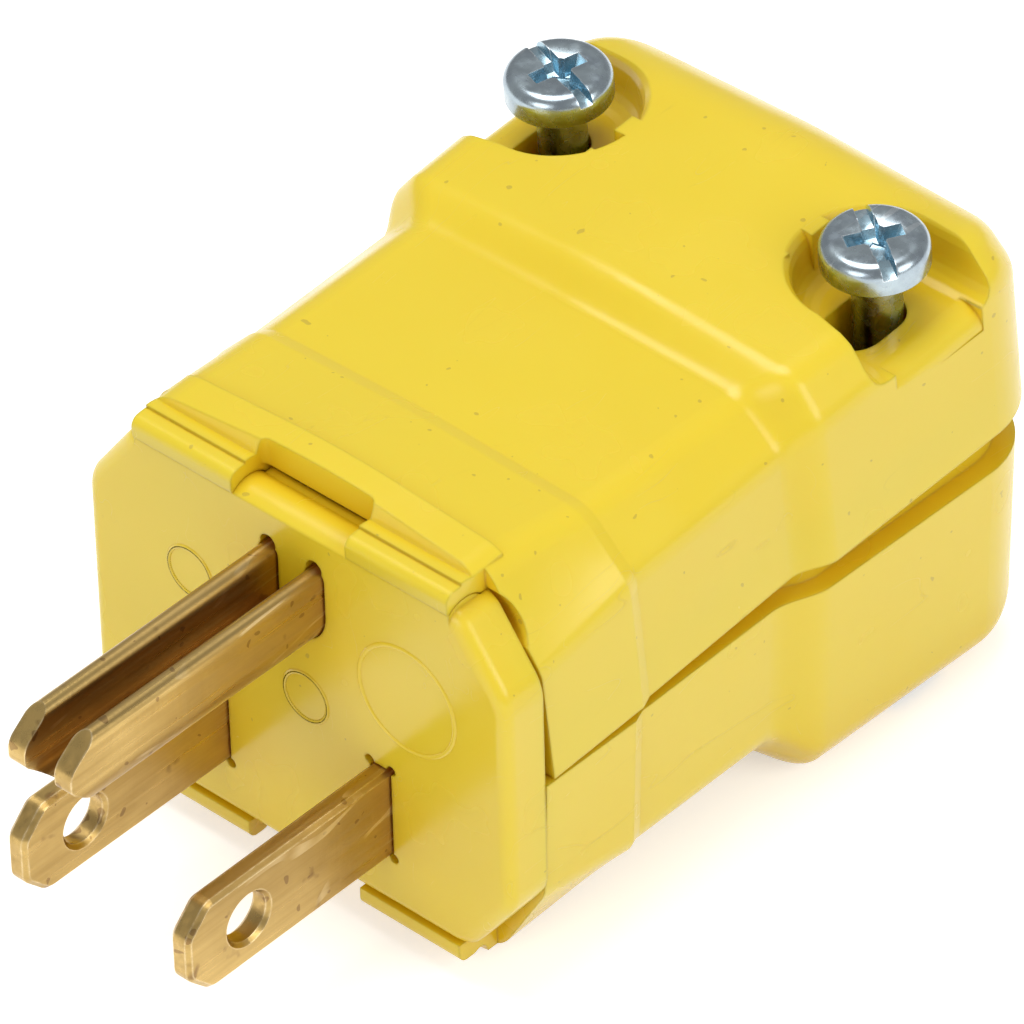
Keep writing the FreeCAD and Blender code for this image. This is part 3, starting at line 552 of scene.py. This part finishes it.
cut_away(blank, tapered_tool(slot_length, slot_width, slot_depth, end_share=1.0, turn=0))
for turn in (0, math.pi / 2):
    cut_away(blank, tapered_tool(2 * cross_reach, cross_width, cross_depth, end_share=0.6, turn=turn))
cut_away(blank, tapered_tool(pit_width, pit_width, pit_depth, end_share=0.55, turn=math.pi / 4))
bevel = blank.modifiers.new("punched_edges", "BEVEL")
bevel.width = punched_edge
bevel.segments = 2
bevel.limit_method = "ANGLE"
bevel.angle_limit = math.radians(35)
bpy.ops.object.modifier_apply(modifier="punched_edges")

bpy.ops.object.select_all(action="DESELECT")
ridge_half = thread_pitch * 0.42
ridge_low = -(shank_length - bare_tip)
crest = shank_r - skin_depth
ridge_middle = (thread_root_r + crest) / 2
bpy.ops.mesh.primitive_plane_add(size=1, location=(0, 0, 0), rotation=(math.pi / 2, 0, 0))
ridge = bpy.context.object
ridge.scale = (crest - thread_root_r + 2 * skin_depth, 2 * ridge_half, 1)
bpy.ops.object.transform_apply(location=True, rotation=True, scale=True)
ridge.location = (ridge_middle - skin_depth, 0, ridge_low)
bpy.ops.object.transform_apply(location=True, rotation=True, scale=True)
start_edit(ridge)
pick(ridge, "EDGE", lambda p: p.x > ridge_middle)
bpy.ops.transform.resize(value=(1, 1, 0.3), center_override=(crest, 0, ridge_low))
bpy.ops.object.mode_set(mode="OBJECT")
helix = ridge.modifiers.new("rolled_thread", "SCREW")
helix.axis = "Z"
helix.angle = 2 * math.pi
helix.screw_offset = thread_pitch
helix.iterations = int((thread_length - bare_ends) / thread_pitch)
helix.steps = 40
helix.render_steps = 40
bpy.ops.object.modifier_apply(modifier="rolled_thread")
start_edit(ridge)
bpy.ops.mesh.select_mode(type="EDGE")
bpy.ops.mesh.select_all(action="DESELECT")
bpy.ops.mesh.select_non_manifold()
bpy.ops.mesh.fill_holes(sides=6)
bpy.ops.mesh.select_all(action="SELECT")
bpy.ops.mesh.normals_make_consistent(inside=False)
bpy.ops.object.mode_set(mode="OBJECT")
bpy.ops.object.select_all(action="DESELECT")
ridge.select_set(True)
blank.select_set(True)
bpy.context.view_layer.objects.active = blank
bpy.ops.object.join()
bpy.ops.object.shade_smooth_by_angle(angle=math.radians(32))
set_material(blank, zinc)

for side, slot_turn in (("left", -17), ("right", -33)):
    travel = [j for j in frame["joints"] if j["name"] == side + "_screw_travel"][0]
    axis = Vector(travel["axis"]).normalized()
    centre = Vector(travel["pos_m"])
    tip = min(axis.dot(v.co) for v in nodes[side + "_closing_screw"].data.vertices)
    seat = centre + axis * (tip + shank_length - axis.dot(centre))
    bpy.ops.object.select_all(action="DESELECT")
    blank.select_set(True)
    bpy.context.view_layer.objects.active = blank
    bpy.ops.object.duplicate()
    screw = bpy.context.object
    screw.name = side + "_combination_screw"
    lean = Vector((0, 0, 1)).rotation_difference(axis).to_matrix().to_4x4()
    twist = Matrix.Rotation(math.radians(slot_turn), 4, "Z")
    screw.matrix_world = Matrix.Translation(seat) @ lean @ twist
    bpy.ops.object.transform_apply(location=True, rotation=True, scale=True)
    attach(screw, side + "_screw")
    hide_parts(side + "_closing_screw")
bpy.data.objects.remove(blank)


# Inside pieces: a green ground screw, painted so that it is told apart, the
# black board behind the contacts, and brown fibre washers under the cover.
def coated(name, colour, roughness, metallic, grit):
    """Painted or fibre surface: mottled, darker in its hollows, pale on its edges."""
    material, tree, shader = new_material(name)
    shader.inputs["Metallic"].default_value = metallic
    darker = tuple(c * 0.55 for c in colour[:3]) + (1,)
    paler = tuple(min(1.0, c * 1.8 + 0.03) for c in colour[:3]) + (1,)
    mottle = remap(tree, object_noise(tree, grit, detail=4.0), 0.35, 0.65)
    tone = blend_colour(tree, mottle, colour, darker)
    hollow = place_group(tree, hollows, Reach=1.5 * mm, Closed=0.2, Open=0.8)
    tone = blend_colour(tree, hollow.outputs["Mask"], tone, darker)
    bright = place_group(tree, edge_wear, Radius=0.15 * mm, Break_Up=1800.0)
    tone = blend_colour(tree, bright.outputs["Mask"], tone, paler)
    tree.links.new(tone, shader.inputs["Base Color"])
    rough = remap(tree, object_noise(tree, grit * 2), 0.3, 0.7, roughness - 0.08, roughness + 0.08)
    tree.links.new(rough, shader.inputs["Roughness"])
    tooth = add(tree, "ShaderNodeBump")
    tooth.inputs["Strength"].default_value = 0.25
    tooth.inputs["Distance"].default_value = 0.05 * mm
    tree.links.new(object_noise(tree, grit * 3), tooth.inputs["Height"])
    tree.links.new(tooth.outputs["Normal"], shader.inputs["Normal"])
    return material


green_paint = coated(
    "green_screw_paint", colour=(0.02, 0.16, 0.05, 1), roughness=0.3, metallic=0.6, grit=900.0)
set_material(nodes["ground_terminal_screw"], green_paint)
board = coated(
    "black_fibre_board", colour=(0.02, 0.02, 0.02, 1), roughness=0.55, metallic=0.0, grit=500.0)
set_material(nodes["blade_retainer"], board)
fibre = coated(
    "brown_fibre", colour=(0.30, 0.10, 0.04, 1), roughness=0.7, metallic=0.0, grit=1200.0)
for name in ("left_screw_retainer", "right_screw_retainer"):
    set_material(nodes[name], fibre)
